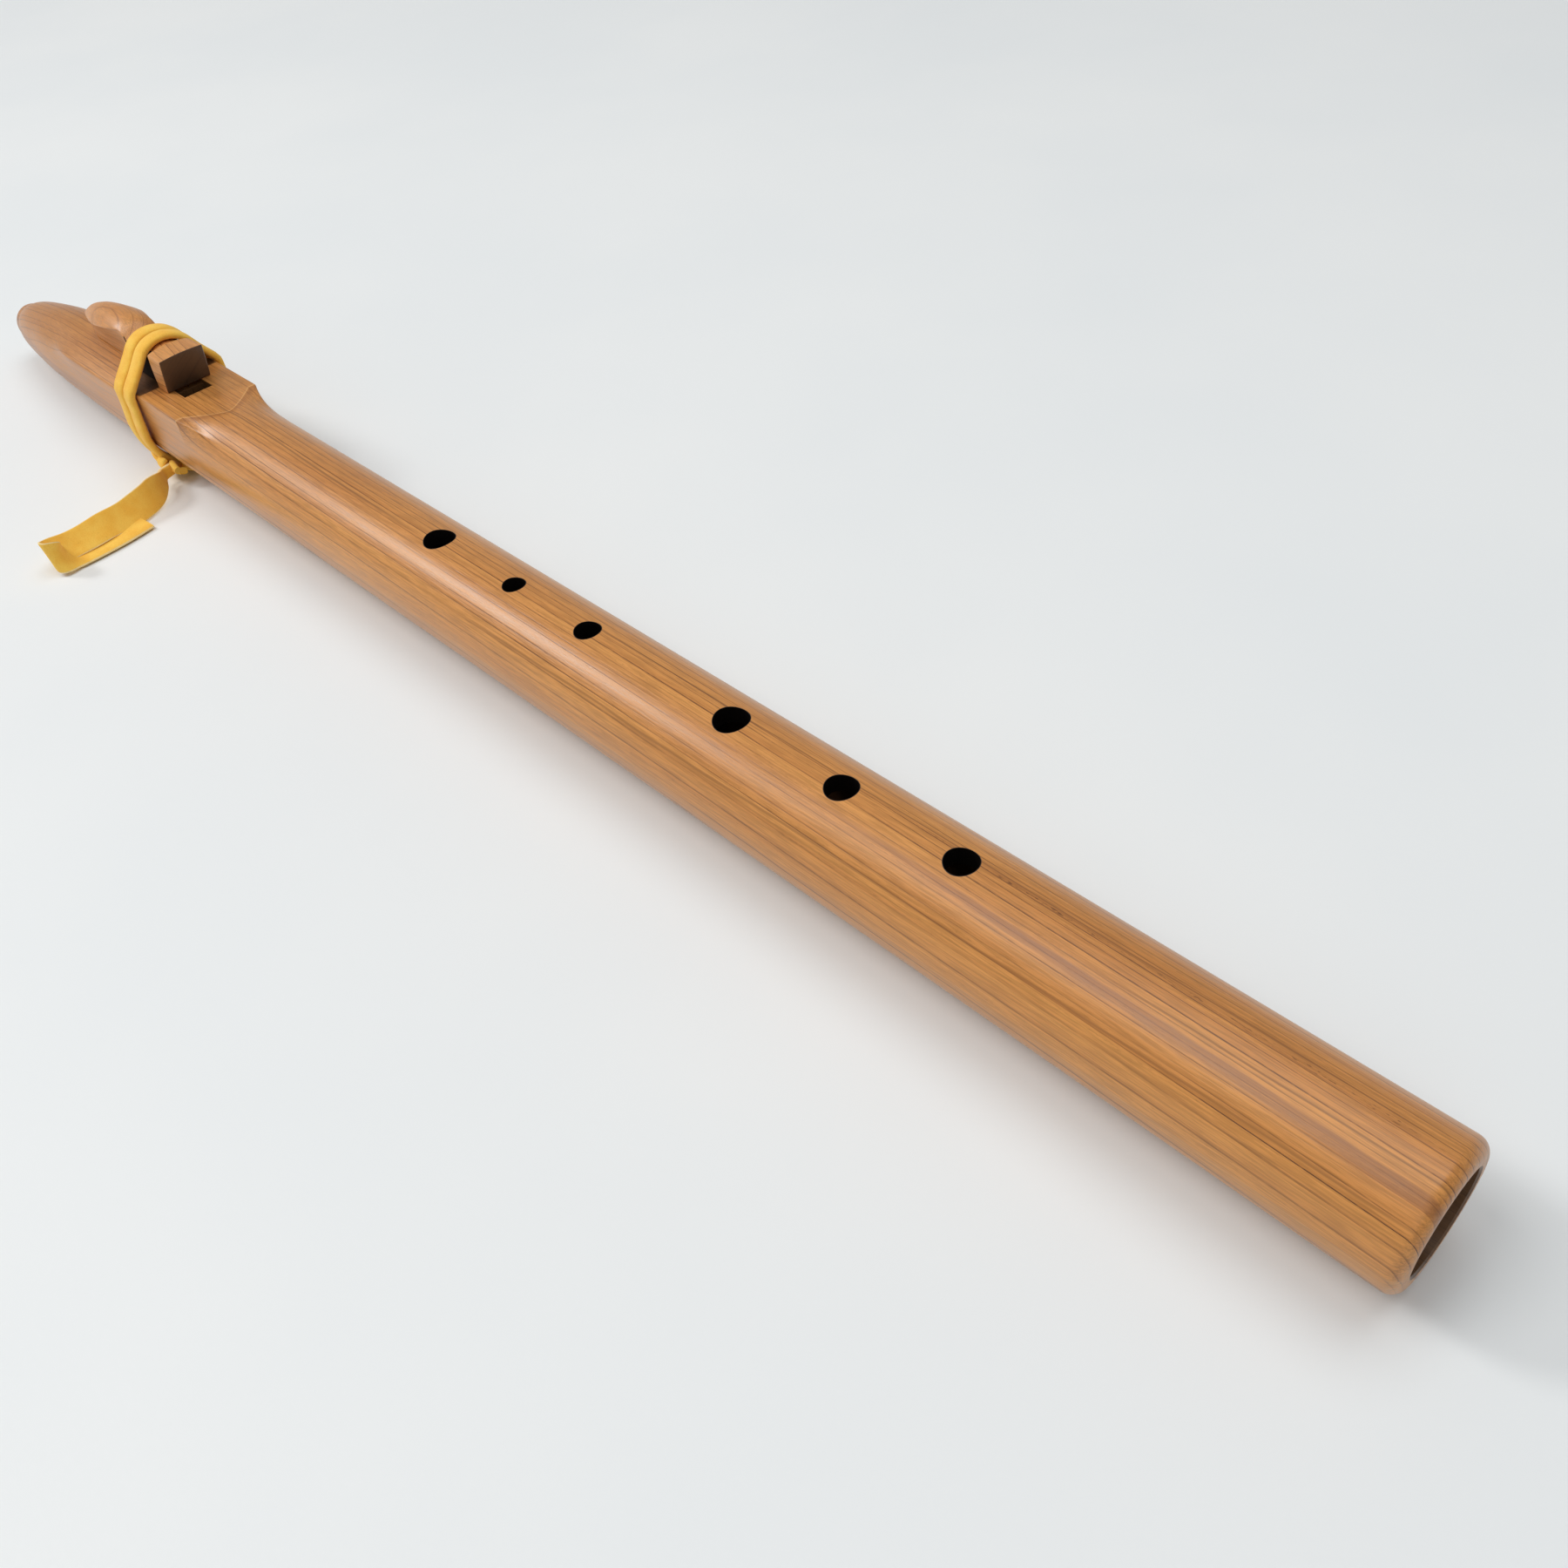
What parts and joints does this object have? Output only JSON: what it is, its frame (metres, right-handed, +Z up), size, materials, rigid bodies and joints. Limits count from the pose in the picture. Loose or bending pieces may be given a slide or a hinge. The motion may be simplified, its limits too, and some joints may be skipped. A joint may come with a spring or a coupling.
{
  "type": "native american flute",
  "caption": "End-blown two-chamber wooden flute: round body with a nest, finger holes and sounding hole, a carved block tied over the flue by a lace with a loose tail.",
  "frame": {"origin": "centre of the footprint, at the underside of the lace's turns that the flute rests on", "axes": "+X along the body from the mouth end to the foot, +Z up through the finger holes"},
  "size_m": [0.611, 0.088, 0.0498],
  "materials": {
    "cedar": "satin oil",
    "block_wood": "satin oil",
    "deerskin": "soft smoked hide"
  },
  "bodies": {
    "flute": {"body_top_half": "cedar", "body_bottom_half": "cedar", "lace_turns": "deerskin", "lace_knot": "deerskin", "lace_tail": "deerskin"},
    "block": {"block": "block_wood"}
  },
  "joints": [
    {"name": "block_slide", "type": "slide", "parent": "flute", "child": "block", "axis": [1, 0, 0], "range_m": [-0.0015, 0.003]}
  ]
}
